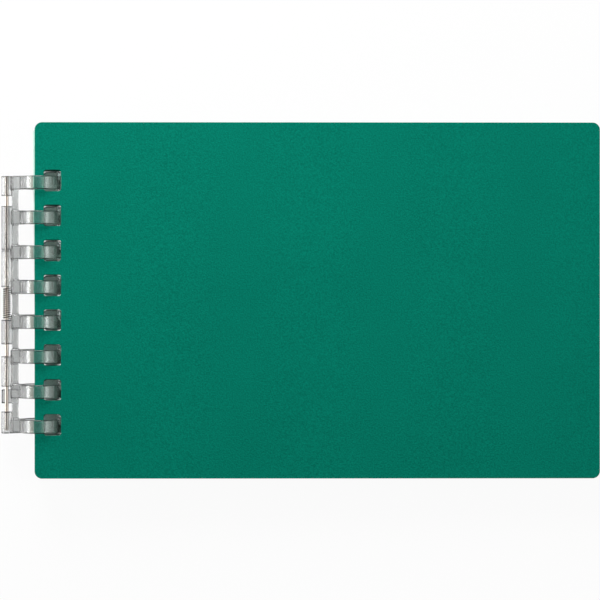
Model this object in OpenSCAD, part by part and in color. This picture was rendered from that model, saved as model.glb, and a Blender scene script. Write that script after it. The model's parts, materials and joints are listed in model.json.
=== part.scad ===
// A small ring-bound stamp album: two sanded plastic covers, black stock leaves with clear
// strips and clear interleaves, held by two clear half-ring combs that hinge on a steel pin.
// The ring centre line is the datum of the binding. The sheets lie in a plane that is tilted
// very slightly, so that the album rests on its rings and on the far edge of the back cover.
// Units: millimetres.

/* [Covers] */
// Length of the front cover, from the binding edge
cover_l = 154; // [130:1:190]
// Height of both covers, along the rings
cover_h = 97; // [90:1:130]
// Thickness of each cover
cover_t = 0.8; // [0.5:0.1:0.8]
// Corner radius of the covers
cover_corner_r = 2; // [0.5:0.5:5]
// How far the back cover reaches past the front cover
back_cover_extra = 0.45; // [0:0.05:1]

/* [Leaves] */
// Length of a stock board
board_l = 150; // [120:1:152]
// Height of a stock board
board_h = 94; // [84:1:96]
// Thickness of a stock board
board_t = 0.3; // [0.2:0.05:0.3]
// Corner radius of boards and interleaves
leaf_corner_r = 1.5; // [0.5:0.5:4]
// Distance from one stock board to the next
leaf_pitch = 1; // [1:0.05:1.04]
// Thickness of a clear interleaf
interleaf_t = 0.1; // [0.05:0.01:0.12]
// Gap between a board's pockets and its interleaf
interleaf_gap = 0.02; // [0.01:0.01:0.04]
// How far the loose interleaves lie turned in their holes, in degrees
interleaf_skew = 0.5; // [0:0.05:0.5]
// Thickness of the clear pocket strips
strip_t = 0.12; // [0.06:0.02:0.14]
// Pocket strips on each side of a board
strip_count = 3; // [1:1:5]
// Height of one pocket strip
strip_h = 22; // [12:1:24]
// Bare border between the strips and the board's outer edges
strip_border = 3; // [2:0.5:8]
// Bare margin between the binding edge of a board and its strips
strip_margin = 11; // [9:0.5:20]

/* [Holes] */
// Distance from one ring to the next
ring_pitch = 9.5; // [9.5:0.1:10.5]
// Number of rings
ring_count = 8; // [4:1:8]
// Size of a cover hole along the rings
hole_h = 5.8; // [5.8:0.1:6.4]
// Distance from the ring centre to the near side of the cover holes
hole_near = 1.15; // [0.9:0.05:1.2]
// Distance from the ring centre to the far side of the cover holes
hole_far = 5.85; // [5.8:0.05:6.2]
// Distance from the ring centre to the near side of the back cover's holes
back_hole_near = 0.2; // [0:0.05:1.1]
// Corner radius of the cover holes
hole_corner_r = 0.7; // [0.3:0.05:0.8]
// Extra room around the holes of the thin leaves
leaf_hole_extra = 0.12; // [0.02:0.02:0.2]
// Distance from the ring centre to the near side of the leaf holes
leaf_hole_near = 0.35; // [0.3:0.05:1]
// Height of the hole row from the middle of the covers
hole_row_y = -0.65; // [-2:0.05:2]
// Distance from the ring centre to the binding edge of the covers
cover_edge_in = 1.33; // [1:0.01:1.5]
// Distance from the ring centre to the binding edge of the boards
board_edge_in = 1.2; // [0.8:0.05:1.4]
// Distance from the ring centre to the binding edge of the interleaves
interleaf_edge_in = 1.5; // [1:0.05:1.5]

/* [Rings] */
// Outer radius of a ring
ring_r = 5.6; // [5.5:0.05:5.7]
// Thickness of the ring strip
ring_t = 1.1; // [0.8:0.05:1.1]
// Width of the ring strip
ring_w = 3.7; // [3.4:0.1:3.7]
// Shift of the upper ring strips from the middle of the holes
upper_shift = -0.5; // [-0.5:0.02:-0.3]
// Shift of the lower ring strips from the middle of the holes
lower_shift = -0.3; // [-0.5:0.02:0]
// Width of the pad that the lower strips widen to, in the middle of the holes
pad_w = 5.5; // [5:0.1:5.5]
// Corner radius of the pad, seen from above
pad_corner_r = 1; // [0.6:0.1:1.5]
// Distance that a ring tip reaches past the parting line, in degrees round the ring
tip_reach = 9; // [6:1:12]
// Width of an upper ring tip, beside the lower tip
upper_tip_w = 2.45; // [2:0.05:2.5]
// Depth of the hook on each ring tip
hook_depth = 0.4; // [0.2:0.05:0.4]
// Length of the hook, in degrees round the ring
hook_angle = 6; // [4:0.5:7]
// Where the lower strips widen to the pad, in degrees round the ring from the far side
widening_start = -88; // [-89:1:-40]

/* [Spine] */
// Distance from the ring centre to the hinge pin
pin_offset = 9.35; // [9.3:0.05:9.5]
// Radius of the hinge pin
pin_r = 0.5; // [0.3:0.05:0.6]
// Outer radius of the hinge knuckles
knuckle_r = 1.5; // [1:0.05:1.6]
// Length of the spine
spine_l = 70.4; // [70.4:0.1:72]
// Middle of the spine from the middle of the covers
spine_y = -1.2; // [-1.3:0.1:-1.1]
// Distance from the ring centre to the inner side of the spine bars
bar_near = 6.2; // [5.7:0.05:6.4]
// Distance from the ring centre to the outer side of the spine bars
bar_far = 7.9; // [7.5:0.05:8]
// How far the blocks at the rings reach past the bars, towards the barrel
block_reach = 0.3; // [0:0.05:0.3]
// Height of a bar above the parting plane
bar_h = 0.9; // [0.6:0.05:1.2]
// Height of the blocks at the rings above the parting plane
block_h = 1.35; // [1:0.05:1.6]
// Thickness of the wall that closes the lower end of the barrel
end_wall = 0.8; // [0.5:0.1:1.5]
// How far the blocks reach into the foot of their ring strip
block_overlap = 0.1; // [0.05:0.05:0.3]
// How far the finger tab reaches below the barrel
tab_lip = 0.2; // [0:0.05:0.3]

/* [Latch spring] */
// Diameter of the spring wire
wire_d = 0.32; // [0.2:0.02:0.34]
// Outer radius of the spring
spring_r = 1.1; // [1:0.05:1.15]
// Turns of the spring
spring_turns = 14; // [6:1:16]

/* [Clearances] */
// Half of the gap between the upper and the lower comb at the parting plane
part_gap = 0.15; // [0.1:0.01:0.2]
// Running clearance of the pin in the knuckles, on the radius
pin_clear = 0.05; // [0.02:0.01:0.1]
// Gap between knuckles that touch when the rings are shut
knuckle_gap = 0.1; // [0.05:0.01:0.2]
// Gap between the pin and the closed ends of the barrel
pin_end_gap = 0.1; // [0.05:0.01:0.3]
// Bare height between one row of strips and the next, at least
strip_gap = 1; // [0.5:0.5:3]
// Extra room under the front cover, past one leaf pitch
cover_room = 0.2; // [0.1:0.05:0.3]
// Gap between the hooks of the ring tips
hook_gap = 0.06; // [0.04:0.01:0.1]
// Gap between a ring tip and the shoulder it stops at, in degrees round the ring
shoulder_gap = 3; // [1:0.5:4]
// Room round a knuckle in the bars and blocks of the other comb
knuckle_room = 0.12; // [0.08:0.02:0.2]
// Travel of the upper comb along the pin that frees the hooks
latch_travel = 0.5; // [0.46:0.01:0.5]

/* [Hidden] */
$fn = 48;
eps = 0.01;
leaf_count = 6;
leaf_names = [for (k = [1:leaf_count]) str("leaf_", k)];

// Heights in the sheet stack, measured from the ring centre along the sheets' normal.
back_cover_w = -4.1;
back_cover_top = back_cover_w + cover_t;
lowest_board_w = -2.84;
front_cover_w = lowest_board_w + leaf_count * leaf_pitch + cover_room;
function board_w(k) = lowest_board_w + (leaf_count - k) * leaf_pitch;

// The sheets tip down until the far edge of the back cover is as low as the rings.
back_cover_l = cover_l + back_cover_extra;
back_far_u = back_cover_l - cover_edge_in;
sheet_tilt = asin(ring_r / norm([back_far_u, back_cover_w])) - atan(-back_cover_w / back_far_u);

// The origin is under the middle of the whole album, on the surface it lies on.
high_x = back_far_u * cos(sheet_tilt) + back_cover_top * sin(sheet_tilt);
low_x = -pin_offset - knuckle_r;
origin_x = (high_x + low_x) / 2;

ring_in_r = ring_r - ring_t;
ring_rows = [for (i = [0:ring_count - 1]) ((ring_count - 1) / 2 - i) * ring_pitch];
upper_row_y = hole_row_y + upper_shift;
lower_row_y = hole_row_y + lower_shift;
block_far = bar_far + block_reach;
block_near = ring_r - block_overlap;
spine_top_y = spine_y + spine_l / 2;

// Side-by-side ring tips: the upper tip on the -Y half, the lower tip on the +Y half.
upper_tip_hi = upper_row_y - ring_w / 2 + upper_tip_w;
lower_tip_lo = upper_tip_hi + hook_depth + hook_gap;

// Knuckles of each comb as [distance of the start, distance of the end] from the spine's top.
upper_knuckles = [[0, 5.4], [20.3, 30.4], [49.3, 57.6], [64.4, spine_l]];
lower_knuckles = [[8.2, 20.3 - knuckle_gap], [39.3, 46]];
latch_tab = [58.4, 62.2];
spring_span = [upper_knuckles[1][1] + knuckle_gap, lower_knuckles[1][0] - knuckle_gap];
pin_span = [pin_end_gap, spine_l - end_wall - pin_end_gap];

// ---- helpers ----

// From the binding's own frame (ring centre at the origin) to the album's frame
module place_binding() {
    translate([-origin_x, 0, ring_r]) children();
}

// The tilted plane of the sheets, with its origin at the ring centre
module place_sheets() {
    place_binding() rotate([0, sheet_tilt, 0]) children();
}

// Flat outline with rounded corners between two corner points
module rounded_outline(low, high, r) {
    translate([low[0] + r, low[1]]) square([high[0] - low[0] - 2 * r, high[1] - low[1]]);
    translate([low[0], low[1] + r]) square([high[0] - low[0], high[1] - low[1] - 2 * r]);
    for (x = [low[0] + r, high[0] - r], y = [low[1] + r, high[1] - r])
        translate([x, y]) circle(r);
}

// One row of ring holes from a near to a far distance; extra adds height at both ends
module hole_row(near, far, extra, r) {
    for (y = ring_rows)
        translate([0, hole_row_y + y])
            rounded_outline([near, -hole_h / 2 - extra], [far, hole_h / 2 + extra], r);
}

// A cover sheet, from the binding edge to its far edge, with holes from a near distance on
module cover_sheet(length, near) {
    linear_extrude(cover_t)
        difference() {
            rounded_outline([-cover_edge_in, -cover_h / 2], [length - cover_edge_in, cover_h / 2],
                            cover_corner_r);
            hole_row(near, hole_far, 0, hole_corner_r);
        }
}

// A sheet inside the album, from its binding edge to its far edge
module leaf_sheet(edge_in, thick) {
    linear_extrude(thick)
        difference() {
            rounded_outline([-edge_in, -board_h / 2], [board_l - edge_in, board_h / 2], leaf_corner_r);
            hole_row(leaf_hole_near, hole_far + leaf_hole_extra, leaf_hole_extra, hole_corner_r / 2);
        }
}

// Part of a ring strip: angles are measured from the far side, upwards
module ring_arc(from, to, low_y, high_y) {
    rotate([90, 0, 0])
        rotate_extrude(start = from, angle = to - from, $fn = 96)
            translate([ring_in_r, -high_y]) square([ring_t, high_y - low_y]);
}

// A block of the spine between two x distances, two y places and two heights
module spine_block(far, near, low_y, high_y, low_z, high_z) {
    translate([-far, low_y, low_z]) cube([far - near, high_y - low_y, high_z - low_z]);
}

// A knuckle round the pin with the web that joins it to its bar
module knuckle(span, low_z, high_z) {
    low_y = spine_top_y - span[1];
    high_y = spine_top_y - span[0];
    translate([-pin_offset, high_y, 0]) rotate([90, 0, 0]) cylinder(r = knuckle_r, h = high_y - low_y);
    spine_block(pin_offset, bar_far - eps, low_y, high_y, low_z, high_z);
}

// A round hole on the pin's axis, from one distance to another below the spine's top
module pin_bore(from, to, r = pin_r + pin_clear) {
    translate([-pin_offset, spine_top_y - from, 0])
        rotate([90, 0, 0]) cylinder(r = r, h = to - from);
}

// Room in one comb's bar and blocks for the knuckles of the other comb and their slide
module knuckle_rooms(spans, before, after) {
    for (span = spans)
        pin_bore(span[0] - before, span[1] + after, knuckle_r + knuckle_room);
}

// ---- covers ----

module front_cover() {
    color("#067560")
        place_sheets() translate([0, 0, front_cover_w])
            cover_sheet(cover_l, hole_near);
}

module back_cover() {
    color("#067560")
        place_sheets() translate([0, 0, back_cover_w])
            cover_sheet(back_cover_l, back_hole_near);
}

// ---- leaves, counted from the front ----

module leaf_board(k) {
    color("#1c1c1e")
        place_sheets() translate([0, 0, board_w(k)])
            leaf_sheet(board_edge_in, board_t);
}

// Rows of clear strips that hold the stamps on one face of a board
module pocket_strips(low_w) {
    row = (board_h - 2 * strip_border) / strip_count;
    for (i = [0:strip_count - 1])
        translate([strip_margin - board_edge_in, -board_h / 2 + strip_border + i * row, low_w])
            cube([board_l - strip_margin - strip_border, min(strip_h, row - strip_gap), strip_t]);
}

module leaf_front_strips(k) {
    color("#d8e4e6") place_sheets() pocket_strips(board_w(k) + board_t);
}

module leaf_back_strips(k) {
    color("#d8e4e6") place_sheets() pocket_strips(board_w(k) - strip_t);
}

module leaf_interleaf(k) {
    color("#e6f2ee")
        place_sheets()
            translate([0, hole_row_y, board_w(k) + board_t + strip_t + interleaf_gap])
                rotate([0, 0, interleaf_skew])
                    translate([0, -hole_row_y, 0])
                        leaf_sheet(interleaf_edge_in, interleaf_t);
}

// ---- ring combs ----

module upper_ring() {
    low_y = -ring_w / 2;
    high_y = ring_w / 2;
    tip_y = upper_tip_hi - upper_row_y;
    shoulder = tip_reach + shoulder_gap;
    ring_arc(shoulder, 180, low_y, high_y);
    ring_arc(-tip_reach, shoulder + eps, low_y, tip_y);
    ring_arc(-tip_reach, -tip_reach + hook_angle, low_y, tip_y + hook_depth);
    spine_block(block_far, block_near, low_y, high_y, part_gap, block_h);
}

module lower_ring() {
    low_y = -ring_w / 2;
    pad_low_y = hole_row_y - pad_w / 2 - lower_row_y;
    high_y = hole_row_y + pad_w / 2 - lower_row_y;
    tip_y = lower_tip_lo - lower_row_y;
    shoulder = -tip_reach - shoulder_gap;
    near_u = ring_in_r * cos(widening_start) - eps;
    ring_arc(-180, widening_start, low_y, ring_w / 2);
    intersection() {
        union() {
            ring_arc(widening_start - eps, shoulder, pad_low_y, high_y);
            ring_arc(shoulder - eps, tip_reach, tip_y, high_y);
            ring_arc(tip_reach - hook_angle, tip_reach, tip_y - hook_depth, high_y);
        }
        translate([0, 0, -2 * ring_r])
            linear_extrude(3 * ring_r)
                rounded_outline([near_u, pad_low_y], [ring_r + eps, high_y], pad_corner_r);
    }
    spine_block(block_far, block_near, low_y, ring_w / 2, -block_h, -part_gap);
}

module ring_comb_upper() {
    color("#cfd4d4")
        place_binding()
            difference() {
                union() {
                    difference() {
                        union() {
                            for (y = ring_rows) translate([0, upper_row_y + y, 0]) upper_ring();
                            spine_block(bar_far, bar_near, spine_top_y - spine_l, spine_top_y,
                                        part_gap, bar_h);
                        }
                        knuckle_rooms(lower_knuckles, latch_travel + knuckle_gap, knuckle_gap);
                    }
                    for (span = upper_knuckles) knuckle(span, part_gap, bar_h);
                }
                // the left feet of the arcs stop at the parting plane
                spine_block(ring_r + eps, ring_in_r - eps, spine_top_y - spine_l - 1,
                            spine_top_y + 1, -part_gap, part_gap);
                pin_bore(-1, spine_l - end_wall);
            }
}

module ring_comb_lower() {
    low_end = min(spine_top_y - spine_l, lower_row_y - ring_w / 2 + ring_rows[ring_count - 1]);
    high_end = max(spine_top_y, lower_row_y + ring_w / 2 + ring_rows[0]);
    color("#c6cccc")
        place_binding()
            difference() {
                union() {
                    difference() {
                        union() {
                            for (y = ring_rows) translate([0, lower_row_y + y, 0]) lower_ring();
                            spine_block(bar_far, bar_near, low_end, high_end, -bar_h, -part_gap);
                        }
                        knuckle_rooms(upper_knuckles, knuckle_gap, latch_travel + knuckle_gap);
                    }
                    for (span = lower_knuckles) knuckle(span, -bar_h, -part_gap);
                    // finger tab under the barrel, held against while the upper comb slides
                    spine_block(pin_offset + knuckle_r, bar_far - eps, spine_top_y - latch_tab[1],
                                spine_top_y - latch_tab[0], -knuckle_r - tab_lip, -pin_r - 2 * pin_clear);
                    spine_block(bar_far, bar_near, spine_top_y - latch_tab[1],
                                spine_top_y - latch_tab[0], -knuckle_r - tab_lip, -part_gap);
                }
                spine_block(ring_r + eps, ring_in_r - eps, low_end - 1, high_end + 1,
                            -part_gap, part_gap);
                pin_bore(-1, spine_l - end_wall);
            }
}

// ---- hinge pin and latch spring ----

module hinge_pin() {
    color("#9c8f84")
        place_binding()
            translate([-pin_offset, spine_top_y - pin_span[0], 0])
                rotate([90, 0, 0]) cylinder(r = pin_r, h = pin_span[1] - pin_span[0]);
}

// Coil of round wire: rings of points swept round the pin, closed at both ends
module coil(r, wire_r, height, turns) {
    sides = 6;
    steps = turns * 12;
    rise = height - 2 * wire_r;
    points = [for (i = [0:steps], s = [0:sides - 1])
        let (a = 360 * turns * i / steps, b = 360 * s / sides, rr = r + wire_r * cos(b))
            [rr * cos(a), rr * sin(a), wire_r + rise * i / steps + wire_r * sin(b)]];
    walls = [for (i = [0:steps - 1], s = [0:sides - 1])
        let (t = (s + 1) % sides)
            [i * sides + s, i * sides + t, (i + 1) * sides + t, (i + 1) * sides + s]];
    first = [for (s = [sides - 1:-1:0]) s];
    last = [for (s = [0:sides - 1]) steps * sides + s];
    polyhedron(points, concat(walls, [first, last]), convexity = 4);
}

module latch_spring() {
    color("#8a8d90")
        place_binding()
            translate([-pin_offset, spine_top_y - spring_span[0], 0])
                rotate([90, 0, 0])
                    coil(spring_r - wire_d / 2, wire_d / 2, spring_span[1] - spring_span[0], spring_turns);
}

front_cover();
back_cover();
for (k = [1:leaf_count]) {
    leaf_board(k);
    leaf_front_strips(k);
    leaf_back_strips(k);
    leaf_interleaf(k);
}
ring_comb_upper();
ring_comb_lower();
hinge_pin();
latch_spring();
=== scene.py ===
"""Ring-bound stamp album, seen from straight above: green sanded covers and clear half-ring combs."""
import math

import bpy
import json
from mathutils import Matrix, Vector


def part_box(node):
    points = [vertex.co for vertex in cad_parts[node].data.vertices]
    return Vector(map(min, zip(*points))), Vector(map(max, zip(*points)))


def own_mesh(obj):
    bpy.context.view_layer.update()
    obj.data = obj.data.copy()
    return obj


MM = 0.001

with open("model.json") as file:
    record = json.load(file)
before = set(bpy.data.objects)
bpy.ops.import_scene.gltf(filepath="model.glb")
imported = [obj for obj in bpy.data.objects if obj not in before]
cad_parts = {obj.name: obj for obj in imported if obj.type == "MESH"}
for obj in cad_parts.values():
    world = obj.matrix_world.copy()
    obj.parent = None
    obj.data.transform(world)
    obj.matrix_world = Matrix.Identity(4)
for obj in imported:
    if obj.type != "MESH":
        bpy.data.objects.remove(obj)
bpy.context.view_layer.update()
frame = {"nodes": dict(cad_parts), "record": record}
nodes = frame["nodes"]
joints = {joint["name"]: joint for joint in frame["record"]["behaviour"]["joints"]}
mounts = {mount["name"]: mount for mount in frame["record"]["mounts"]}
ring_centre = Vector(joints["ring_swivel"]["pos_m"])
rings_middle_y = mounts["ring_row"]["pos_m"][1]
cover_low, cover_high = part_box("front_cover")

# ---- camera: the photograph's frame, measured at the cover's face ----
PHOTO_SIZE = 600
PIXEL = 0.2725 * MM
RING_CENTRE_PX = 39.75
COVER_MIDDLE_PX = 300.4
CAMERA_DISTANCE = 0.66
CAMERA_CLIP = (0.01, 10)
SENSOR = 36.0

# ---- lamps: name, place, width, height and power; each faces the album's middle ----
LAMPS = [
    ("softbox_left", (-0.59, 0.10, 0.19), 0.7, 0.15, 3.3),
    ("softbox_right", (0.40, 0.0, 0.53), 0.14, 0.25, 0.74),
    ("softbox_over", (0.14, 0.0, 0.67), 0.2, 0.22, 0.2),
    ("softbox_low", (0.52, -0.05, 0.19), 0.26, 0.30, 0.42),
    ("softbox_top", (-0.11, 0.40, 0.22), 0.25, 0.25, 2.7),
]
ALBUM_MIDDLE = Vector((0, 0, 0))
WORLD_LIGHT = 0.06

# ---- colours, linear ----
WHITE = (1, 1, 1, 1)
COVER_GREEN = (0.0012, 0.170, 0.114, 1)
COVER_GLOSS_TINT = (0.07, 1.0, 0.85, 1)
PLASTIC_UPPER = (0.86, 0.87, 0.865, 1)
PLASTIC_LOWER = (0.74, 0.75, 0.75, 1)
BOARD_BLACK = (0.012, 0.012, 0.013, 1)
FILM_CLEAR = (0.93, 0.96, 0.95, 1)
FILM_MINT = (0.72, 0.90, 0.83, 1)
PIN_METAL = (0.62, 0.54, 0.47, 1)
SPRING_METAL = (0.03, 0.026, 0.025, 1)
FLOOR_PALE = (0.8, 0.8, 0.8, 1)

# ---- patterns: noise with its scale per metre ----
GRAIN = {"scale": 2600, "detail": 3}
FINE_GRAIN = {"scale": 6500, "detail": 1}
CLOUDS = {"scale": 45, "detail": 3}
FLOW = {"scale": 900, "detail": 2}
FIBRES = {"scale": 900, "detail": 4, "roughness": 0.7}
HAZE = {"scale": 60, "detail": 3}
DRAWN_LINES = {"scale": 1500, "detail": 3}
FLOW_STRETCH = (1, 0.12, 1)
FIBRE_STRETCH = (1, 3, 1)
PIN_STRETCH = (1, 0.05, 1)
SPRING_STRETCH = (0.3, 1, 0.3)
# Depth and strength of each bump
GRAIN_BUMP = (0.08 * MM, 1.0)
FINE_GRAIN_BUMP = (0.02 * MM, 0.5)
FLOW_BUMP = (0.03 * MM, 0.35)
FIBRE_BUMP = (0.04 * MM, 0.7)
# How dark and how light each pattern makes a colour
GRAIN_TONES = (0.80, 1.20)
CLOUD_TONES = (0.97, 1.03)
HAZE_TONES = (0.97, 1.0)
FIBRE_TONES = (0.8, 1.5)
LINE_TONES = (0.8, 1.15)
# Between which values most of a noise pattern lies
NOISE_LOW, NOISE_HIGH = 0.3, 0.7
FLOW_LOW, FLOW_HIGH = 0.35, 0.65
FIBRE_HIGH = 0.8

# ---- finishes: roughness from smoothest to roughest, and how clear a material is ----
COVER_ROUGHNESS = (0.42, 0.6)
COVER_GLOSS = 0.14
PLASTIC_ROUGHNESS = (0.17, 0.25)
PLASTIC_IOR = 1.58
UPPER_CLEARNESS = 0.965
LOWER_CLEARNESS = 0.975
STRIP_ROUGHNESS = (0.05, 0.13)
STRIP_CLEARNESS = 0.9
INTERLEAF_ROUGHNESS = (0.4, 0.48)
INTERLEAF_CLEARNESS = 0.4
FILM_IOR = 1.45
BOARD_ROUGHNESS = 0.75
PIN_ROUGHNESS = (0.22, 0.37)
SPRING_ROUGHNESS = (0.25, 0.40)
SPRING_EDGE_TINT = 0.15
FLOOR_ROUGHNESS = 0.9
FLOOR_GLOSS = 0.1
# The share of the lamps' rays that passes through clear plastic and through film
LIT_THROUGH_PLASTIC = 0.55
LIT_THROUGH_FILM = 0.75

# ---- rounding of the pieces ----
MOULD_VOXEL = 0.16 * MM
MOULD_PASSES = 5
MOULD_FACTOR = 0.5
COVER_EDGE = 0.1 * MM
PIN_EDGE = 0.08 * MM
EDGE_SEGMENTS = 2
FACE_WEIGHT = 100
SHARP_ANGLE = math.radians(35)
WELD_REACH = 0.001 * MM

# ---- where the looks of clear plastic change; X and Z are from the rings' centre ----
# Its colour by curvature, with painted shade: dark rounded edges and grey hollow corners, clear flat faces
EDGE_SHADE_STOPS = [(0.471, (0.3, 0.3, 0.3, 1)), (0.492, WHITE), (0.508, WHITE), (0.529, (0.03, 0.032, 0.032, 1))]
# Its colour by the angle it is seen at, with painted shade: full when facing, a share of it when grazing
GRAZING_BLEND = 0.4
FACING_AT, GRAZING_AT = 0.25, 0.85
GRAZING_SHADE_SHARE = 0.6
# The ring tips have many small edges, so the painted shade of edges is paler from here on, above this height
TIPS_X = (2.0 * MM, 3.6 * MM)
TIPS_Z = (-2.4 * MM, -1.6 * MM)
TIPS_PALER = 0.8
# The bar has no painted edge shade between two rings
BAR_COLUMNS = [(-8.0 * MM, 0), (-7.8 * MM, 1), (-5.8 * MM, 1), (-5.6 * MM, 0)]
RING_PITCH = 9.5 * MM
# How far from the middle between two rings the space between them ends
BETWEEN_RINGS = (2.3 * MM, 2.7 * MM)
HOLE_NEAR = 1.15 * MM
# Painted reflection along X: none off the covers, grey at the sheets' edges, deep green of the covers past
# them, then pale green
PAINTED_REFLECTION_STOPS = [
    (cover_low.x - 1.7 * MM, WHITE),
    (cover_low.x - 1.0 * MM, (0.86, 0.87, 0.79, 1)),
    (cover_low.x - 0.3 * MM, (0.76, 0.80, 0.73, 1)),
    (cover_low.x + 0.1 * MM, (0.5, 0.84, 0.8, 1)),
    (cover_low.x + 1.4 * MM, (0.65, 0.92, 0.95, 1)),
    (ring_centre.x + HOLE_NEAR, (0.80, 0.97, 0.90, 1)),
]

# ---- the floor ----
FLOOR_HALF_SIZE = 2.5
FLOOR_Z = -0.02 * MM
# How much of it is plain white to the camera, and in gloss and through clear plastic
WHITE_SEEN = 0.94
WHITE_SEEN_THROUGH = 0.33
# Painted shadow under the album: how much of the floor's white is left there, at the album's far side and at
# its near side
PAINTED_SHADOW_FAR = 0.40
PAINTED_SHADOW_NEAR = 0.30
# The painted shadow's green tint, standing in for light that came through the green covers
PAINTED_SHADOW_TINT = (0.80, 1.0, 0.93, 1)
# How far inside the covers' outline the painted shadow starts and is full
PAINTED_SHADOW_INSET = (1 * MM, 2 * MM)
# Painted light patches under the corners of the covers' holes: columns along X, from the rings' centre
LIGHT_PATCH_COLUMNS = [(0.8 * MM, 1), (1.7 * MM, 1), (2.1 * MM, 0), (4.8 * MM, 0), (5.1 * MM, 1)]
HOLES_MIDDLE_Y = -0.65 * MM
# The share of the painted shadow that is left in the painted light patches
PATCH_SHADOW_SHARE = 0.25
# Places on the floor lie further out than the holes above them, and this draws them in
FLOOR_TO_FACE = 0.985


# ---- small helpers for node trees; they return the socket that holds the result ----

def new_material(name):
    material = bpy.data.materials.new(name)
    material.use_nodes = True
    tree = material.node_tree
    return material, tree, tree.nodes["Principled BSDF"]


def set_inputs(tree, node, values):
    """Links each input to a socket, or sets it to a number or colour."""
    for key, value in values.items():
        if isinstance(value, bpy.types.NodeSocket):
            tree.links.new(value, node.inputs[key])
        else:
            node.inputs[key].default_value = value


def new_node(tree, kind, values):
    node = tree.nodes.new("ShaderNode" + kind)
    set_inputs(tree, node, values)
    return node


def grey(level):
    return (level, level, level, 1)


def scaled(colour, factor):
    return tuple(channel * factor for channel in colour[:3]) + (1,)


def object_coordinates(tree):
    return tree.nodes.new("ShaderNodeTexCoord").outputs["Object"]


def stretched(tree, vector, scale):
    return new_node(tree, "Mapping", {"Vector": vector, "Scale": scale}).outputs["Vector"]


def separate(tree, vector):
    return new_node(tree, "SeparateXYZ", {"Vector": vector}).outputs


def noise(tree, vector, scale, detail=2.0, roughness=0.5):
    values = {"Vector": vector, "Scale": scale, "Detail": detail, "Roughness": roughness}
    return new_node(tree, "TexNoise", values).outputs["Fac"]


def math_result(tree, operation, *values):
    node = tree.nodes.new("ShaderNodeMath")
    node.operation = operation
    set_inputs(tree, node, dict(enumerate(values)))
    return node.outputs["Value"]


def map_range(tree, value, low, high, to_low, to_high):
    limits = {"From Min": low, "From Max": high, "To Min": to_low, "To Max": to_high}
    return new_node(tree, "MapRange", {"Value": value, **limits}).outputs["Result"]


def ramp(tree, factor, stops):
    """Colours at places from 0 to 1."""
    node = new_node(tree, "ValToRGB", {"Fac": factor})
    elements = node.color_ramp.elements
    while len(elements) < len(stops):
        elements.new(0.5)
    for element, (place, colour) in zip(elements, stops):
        element.position = place
        element.color = colour
    return node.outputs["Color"]


def mix_colours(tree, factor, first, second, blend="MIX"):
    node = tree.nodes.new("ShaderNodeMix")
    node.data_type = "RGBA"
    node.blend_type = blend
    set_inputs(tree, node, {"Factor": factor, "A": first, "B": second})
    return node.outputs["Result"]


def multiply(tree, first, second):
    return mix_colours(tree, 1.0, first, second, "MULTIPLY")


def mottle(tree, pattern, colour, tones, high=NOISE_HIGH):
    """A colour that is made darker and lighter by a noise pattern."""
    darkest, lightest = (scaled(colour, tone) for tone in tones)
    return ramp(tree, pattern, [(NOISE_LOW, darkest), (high, lightest)])


def vary(tree, pattern, span):
    """A number that a noise pattern takes from one end of its span to the other."""
    return map_range(tree, pattern, NOISE_LOW, NOISE_HIGH, *span)


def bump(tree, height, distance, strength, under=None):
    """A bumped normal; under is the normal that it is laid on."""
    node = new_node(tree, "Bump", {"Height": height, "Distance": distance, "Strength": strength})
    if under is not None:
        set_inputs(tree, node, {"Normal": under})
    return node.outputs["Normal"]


def colours_along(tree, x, stops):
    """Colours at places along X, which are given in metres."""
    low, high = stops[0][0], stops[-1][0]
    shares = [((place - low) / (high - low), colour) for place, colour in stops]
    return ramp(tree, map_range(tree, x, low, high, 0, 1), shares)


def column_mask(tree, x, columns):
    """A share between 0 and 1 by the place along X, from the rings' centre."""
    return colours_along(tree, x, [(ring_centre.x + place, grey(share)) for place, share in columns])


def near_middle_mask(tree, y, middle_y):
    """1 round the middle between two rows and 0 at the rows; middle_y is one such middle."""
    offset = math_result(tree, "SUBTRACT", y, middle_y)
    from_middle = math_result(tree, "PINGPONG", offset, RING_PITCH / 2)
    return map_range(tree, from_middle, *BETWEEN_RINGS, 1, 0)


def show_mix(tree, factor, first, second):
    """Gives the material a mix of two shaders."""
    mix = new_node(tree, "MixShader", {"Fac": factor, 1: first, 2: second})
    set_inputs(tree, tree.nodes["Material Output"], {"Surface": mix.outputs["Shader"]})


# ---- materials ----

def cover_material():
    """Green polypropylene with a fine sand grain, a little mottled."""
    material, tree, shader = new_material("cover_green")
    place = object_coordinates(tree)
    grain = noise(tree, place, **GRAIN)
    fine = noise(tree, place, **FINE_GRAIN)
    clouds = noise(tree, place, **CLOUDS)
    tint = mottle(tree, clouds, COVER_GREEN, CLOUD_TONES)
    speck = mottle(tree, grain, WHITE, GRAIN_TONES)
    coarse_bump = bump(tree, grain, *GRAIN_BUMP)
    set_inputs(tree, shader, {
        "Base Color": multiply(tree, tint, speck),
        "Roughness": vary(tree, grain, COVER_ROUGHNESS),
        "Normal": bump(tree, fine, *FINE_GRAIN_BUMP, coarse_bump),
        "Specular IOR Level": COVER_GLOSS,
        "Specular Tint": COVER_GLOSS_TINT})
    return material


def let_light_through(tree, shader, share):
    """A share of the lamps' rays passes through, so what is behind clear plastic is lit."""
    clear = new_node(tree, "BsdfTransparent", {"Color": scaled(WHITE, share)})
    is_shadow = tree.nodes.new("ShaderNodeLightPath").outputs["Is Shadow Ray"]
    show_mix(tree, is_shadow, shader.outputs["BSDF"], clear.outputs["BSDF"])


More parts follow.
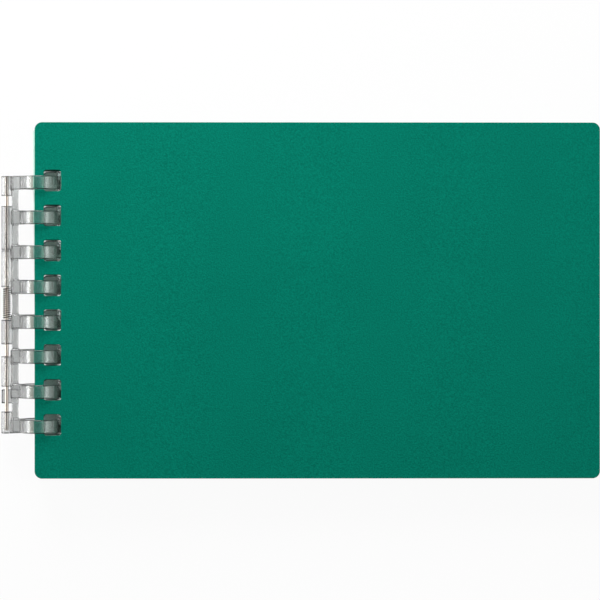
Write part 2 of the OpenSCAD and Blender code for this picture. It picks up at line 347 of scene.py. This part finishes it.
def painted_edge_shade(tree, place):
    """Painted shade on rounded edges and in hollow corners, but paler at the ring tips and none on the bar
    between two rings.
    """
    pointiness = tree.nodes.new("ShaderNodeNewGeometry").outputs["Pointiness"]
    edges = ramp(tree, pointiness, EDGE_SHADE_STOPS)
    reach = map_range(tree, place["X"], *(ring_centre.x + x for x in TIPS_X), 0, TIPS_PALER)
    level = map_range(tree, place["Z"], *(ring_centre.z + z for z in TIPS_Z), 0, 1)
    paler = mix_colours(tree, math_result(tree, "MULTIPLY", reach, level), edges, WHITE)
    between = near_middle_mask(tree, place["Y"], rings_middle_y)
    plain = multiply(tree, between, column_mask(tree, place["X"], BAR_COLUMNS))
    return mix_colours(tree, plain, paler, WHITE)


def plastic_material(name, colour, clearness):
    """Clear moulded plastic: faint flow marks, painted shade along its edges and when grazing, and painted
    green reflection among the sheets.
    """
    material, tree, shader = new_material(name)
    coordinates = object_coordinates(tree)
    place = separate(tree, coordinates)
    flow = noise(tree, stretched(tree, coordinates, FLOW_STRETCH), **FLOW)
    facing = new_node(tree, "LayerWeight", {"Blend": GRAZING_BLEND}).outputs["Facing"]
    # Painted shade: the colour darkens where the surface is seen at a grazing angle
    grazing = ramp(tree, facing, [(FACING_AT, colour), (GRAZING_AT, scaled(colour, GRAZING_SHADE_SHARE))])
    shape = multiply(tree, grazing, painted_edge_shade(tree, place))
    set_inputs(tree, shader, {
        "Base Color": multiply(tree, shape, colours_along(tree, place["X"], PAINTED_REFLECTION_STOPS)),
        "Roughness": map_range(tree, flow, FLOW_LOW, FLOW_HIGH, *PLASTIC_ROUGHNESS),
        "Normal": bump(tree, flow, *FLOW_BUMP),
        "Transmission Weight": clearness,
        "IOR": PLASTIC_IOR})
    let_light_through(tree, shader, LIT_THROUGH_PLASTIC)
    return material


def film_material(name, colour, roughness, clearness):
    """Thin film with a faint haze, clear or milky."""
    material, tree, shader = new_material(name)
    haze = noise(tree, object_coordinates(tree), **HAZE)
    set_inputs(tree, shader, {
        "Base Color": mottle(tree, haze, colour, HAZE_TONES),
        "Roughness": vary(tree, haze, roughness),
        "Transmission Weight": clearness,
        "IOR": FILM_IOR})
    let_light_through(tree, shader, LIT_THROUGH_FILM)
    return material


def board_material():
    """Black card with short paper fibres."""
    material, tree, shader = new_material("black_board")
    fibres = noise(tree, stretched(tree, object_coordinates(tree), FIBRE_STRETCH), **FIBRES)
    set_inputs(tree, shader, {
        "Base Color": mottle(tree, fibres, BOARD_BLACK, FIBRE_TONES, FIBRE_HIGH),
        "Normal": bump(tree, fibres, *FIBRE_BUMP),
        "Roughness": BOARD_ROUGHNESS})
    return material


def metal_material(name, colour, stretch, roughness, edge_tint=1.0):
    """Drawn wire: fine scratches along it."""
    material, tree, shader = new_material(name)
    lines = noise(tree, stretched(tree, object_coordinates(tree), stretch), **DRAWN_LINES)
    set_inputs(tree, shader, {
        "Base Color": mottle(tree, lines, colour, LINE_TONES),
        "Roughness": vary(tree, lines, roughness),
        "Metallic": 1.0,
        "Specular Tint": scaled(WHITE, edge_tint)})
    return material


# ---- the album ----

def give(node_name, material):
    mesh = nodes[node_name].data
    mesh.materials.clear()
    mesh.materials.append(material)


def smooth_shade(piece):
    for polygon in piece.data.polygons:
        polygon.use_smooth = True


def join_corners(piece):
    """Joins the mesh's split corners, without touching its vertices."""
    weld = piece.modifiers.new("join", "WELD")
    weld.merge_threshold = WELD_REACH


def soften(node_name, width, smooth):
    """Rounds the sharp edges of a plain piece; a flat sheet keeps flat faces."""
    piece = nodes[node_name]
    join_corners(piece)
    bevel = piece.modifiers.new("edge", "BEVEL")
    bevel.width = width
    bevel.segments = EDGE_SEGMENTS
    bevel.limit_method = "ANGLE"
    bevel.angle_limit = SHARP_ANGLE
    bevel.use_clamp_overlap = False
    bevel.loop_slide = False
    if smooth:
        smooth_shade(piece)
        normals = piece.modifiers.new("shading", "WEIGHTED_NORMAL")
        normals.keep_sharp = False
        normals.weight = FACE_WEIGHT


def mould(node_name):
    """Rounds every corner of a moulded piece, inside and out, as a mould does."""
    piece = nodes[node_name]
    join_corners(piece)
    skin = piece.modifiers.new("skin", "REMESH")
    skin.mode = "VOXEL"
    skin.voxel_size = MOULD_VOXEL
    skin.use_smooth_shade = True
    round_off = piece.modifiers.new("round", "SMOOTH")
    round_off.factor = MOULD_FACTOR
    round_off.iterations = MOULD_PASSES


def dress_album():
    """Gives each node its material, by the ending of its name, and rounds the edges that show."""
    strips = film_material("pocket_film", FILM_CLEAR, STRIP_ROUGHNESS, STRIP_CLEARNESS)
    interleaf = film_material("interleaf_film", FILM_MINT, INTERLEAF_ROUGHNESS, INTERLEAF_CLEARNESS)
    pin = metal_material("pin_wire", PIN_METAL, PIN_STRETCH, PIN_ROUGHNESS)
    spring = metal_material("spring_wire", SPRING_METAL, SPRING_STRETCH, SPRING_ROUGHNESS, SPRING_EDGE_TINT)
    by_ending = {
        "_cover": cover_material(),
        "_board": board_material(),
        "_strips": strips,
        "_interleaf": interleaf,
        "_comb_upper": plastic_material("clear_smoke_plastic", PLASTIC_UPPER, UPPER_CLEARNESS),
        "_comb_lower": plastic_material("smoke_plastic", PLASTIC_LOWER, LOWER_CLEARNESS),
        "_pin": pin,
        "_spring": spring,
    }
    for name in nodes:
        ending = next(ending for ending in by_ending if name.endswith(ending))
        give(name, by_ending[ending])
        if ending == "_cover":
            soften(name, COVER_EDGE, smooth=False)
        elif ending in ("_comb_upper", "_comb_lower"):
            mould(name)
    soften("hinge_pin", PIN_EDGE, smooth=True)
    smooth_shade(nodes["latch_spring"])


def shorten_spring():
    """Gives the latch spring a mesh of its own; the sliding upper comb presses it together against its fixed
    end, but its shape is left as it is here.
    """
    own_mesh(nodes["latch_spring"])


# ---- stage, lamps, camera ----

def painted_shadow_mask(tree):
    """Where the floor gets painted shadow: 1 under the album and 0 beside it; the floor's underside has
    none.
    """
    place = separate(tree, object_coordinates(tree))
    backfacing = tree.nodes.new("ShaderNodeNewGeometry").outputs["Backfacing"]
    mask = math_result(tree, "SUBTRACT", 1.0, backfacing)
    for axis, low, high in (("X", cover_low.x, cover_high.x), ("Y", cover_low.y, cover_high.y)):
        half = (high - low) / 2
        distance = math_result(tree, "ABSOLUTE", math_result(tree, "SUBTRACT", place[axis], low + half))
        starts, full = (half - inset for inset in PAINTED_SHADOW_INSET)
        mask = multiply(tree, mask, map_range(tree, distance, full, starts, 1, 0))
    return mask


def light_patch_mask(tree):
    """Painted light patches: 1 where the camera sees the floor through the corners of the covers' holes."""
    scale = (FLOOR_TO_FACE, FLOOR_TO_FACE, 1)
    place = separate(tree, stretched(tree, object_coordinates(tree), scale))
    ends = near_middle_mask(tree, place["Y"], HOLES_MIDDLE_Y)
    return multiply(tree, ends, column_mask(tree, place["X"], LIGHT_PATCH_COLUMNS))


def floor_white_and_painted_shadow(tree, under, corners, is_camera):
    """White, but with painted shadow under the album, where only its holes show the floor: dimmer there, and
    tinted green as painted light.
    """
    place = separate(tree, object_coordinates(tree))
    shade = map_range(tree, place["Y"], cover_low.y / 2, cover_high.y / 2, PAINTED_SHADOW_NEAR, PAINTED_SHADOW_FAR)
    painted_shadow_colour = multiply(tree, shade, PAINTED_SHADOW_TINT)
    seen_light_patches = multiply(tree, corners, is_camera)
    painted_shadow_share = multiply(tree, under, map_range(tree, seen_light_patches, 0, 1, 1, PATCH_SHADOW_SHARE))
    return mix_colours(tree, painted_shadow_share, WHITE, painted_shadow_colour)


def floor_material():
    """Pale grey for the lamps, and white for the rays that look at it, with painted shadow under the album
    and painted light patches under the holes' corners.
    """
    material, tree, shader = new_material("floor")
    set_inputs(tree, shader, {
        "Base Color": FLOOR_PALE, "Roughness": FLOOR_ROUGHNESS, "Specular IOR Level": FLOOR_GLOSS})
    path = tree.nodes.new("ShaderNodeLightPath").outputs
    indirect = math_result(tree, "MAXIMUM", path["Is Glossy Ray"], path["Is Transmission Ray"])
    seen_through = math_result(tree, "MULTIPLY", indirect, WHITE_SEEN_THROUGH)
    # Painted shadow under the album, and painted light patches under the corners of the covers' holes
    under = painted_shadow_mask(tree)
    corners = light_patch_mask(tree)
    seen_straight = mix_colours(tree, under, grey(WHITE_SEEN), corners)
    share = math_result(tree, "MULTIPLY_ADD", path["Is Camera Ray"], seen_straight, seen_through)
    colour = floor_white_and_painted_shadow(tree, under, corners, path["Is Camera Ray"])
    white = new_node(tree, "Emission", {"Color": colour, "Strength": 1.0})
    show_mix(tree, share, shader.outputs["BSDF"], white.outputs["Emission"])
    return material


def make_floor():
    """A pale floor that the camera sees as white, and that keeps the album's shadow."""
    half = FLOOR_HALF_SIZE
    mesh = bpy.data.meshes.new("floor")
    corners = [(-half, -half, 0), (half, -half, 0), (half, half, 0), (-half, half, 0)]
    mesh.from_pydata(corners, [], [(0, 1, 2, 3)])
    mesh.materials.append(floor_material())
    floor = bpy.data.objects.new("floor", mesh)
    bpy.context.collection.objects.link(floor)
    floor.location.z = FLOOR_Z


def make_lamp(name, place, width, height, power):
    data = bpy.data.lights.new(name, "AREA")
    data.shape = "RECTANGLE"
    data.size = width
    data.size_y = height
    data.energy = power
    lamp = bpy.data.objects.new(name, data)
    bpy.context.collection.objects.link(lamp)
    lamp.location = place
    lamp.rotation_euler = (ALBUM_MIDDLE - Vector(place)).to_track_quat("-Z", "Y").to_euler()


def light_studio():
    for lamp in LAMPS:
        make_lamp(*lamp)
    world = bpy.data.worlds.new("studio")
    bpy.context.scene.world = world
    world.use_nodes = True
    tree = world.node_tree
    set_inputs(tree, tree.nodes["Background"], {"Color": WHITE, "Strength": WORLD_LIGHT})


def place_camera():
    data = bpy.data.cameras.new("camera")
    camera = bpy.data.objects.new("camera", data)
    bpy.context.collection.objects.link(camera)
    face_z = (cover_low.z + cover_high.z) / 2
    middle_px = PHOTO_SIZE / 2
    x = ring_centre.x + (middle_px - RING_CENTRE_PX) * PIXEL
    y = (COVER_MIDDLE_PX - middle_px) * PIXEL
    camera.location = (x, y, face_z + CAMERA_DISTANCE)
    data.sensor_width = SENSOR
    data.lens = SENSOR * CAMERA_DISTANCE / (PHOTO_SIZE * PIXEL)
    data.clip_start, data.clip_end = CAMERA_CLIP
    bpy.context.scene.camera = camera


dress_album()
shorten_spring()
make_floor()
light_studio()
place_camera()
bpy.context.scene.view_settings.view_transform = "Standard"
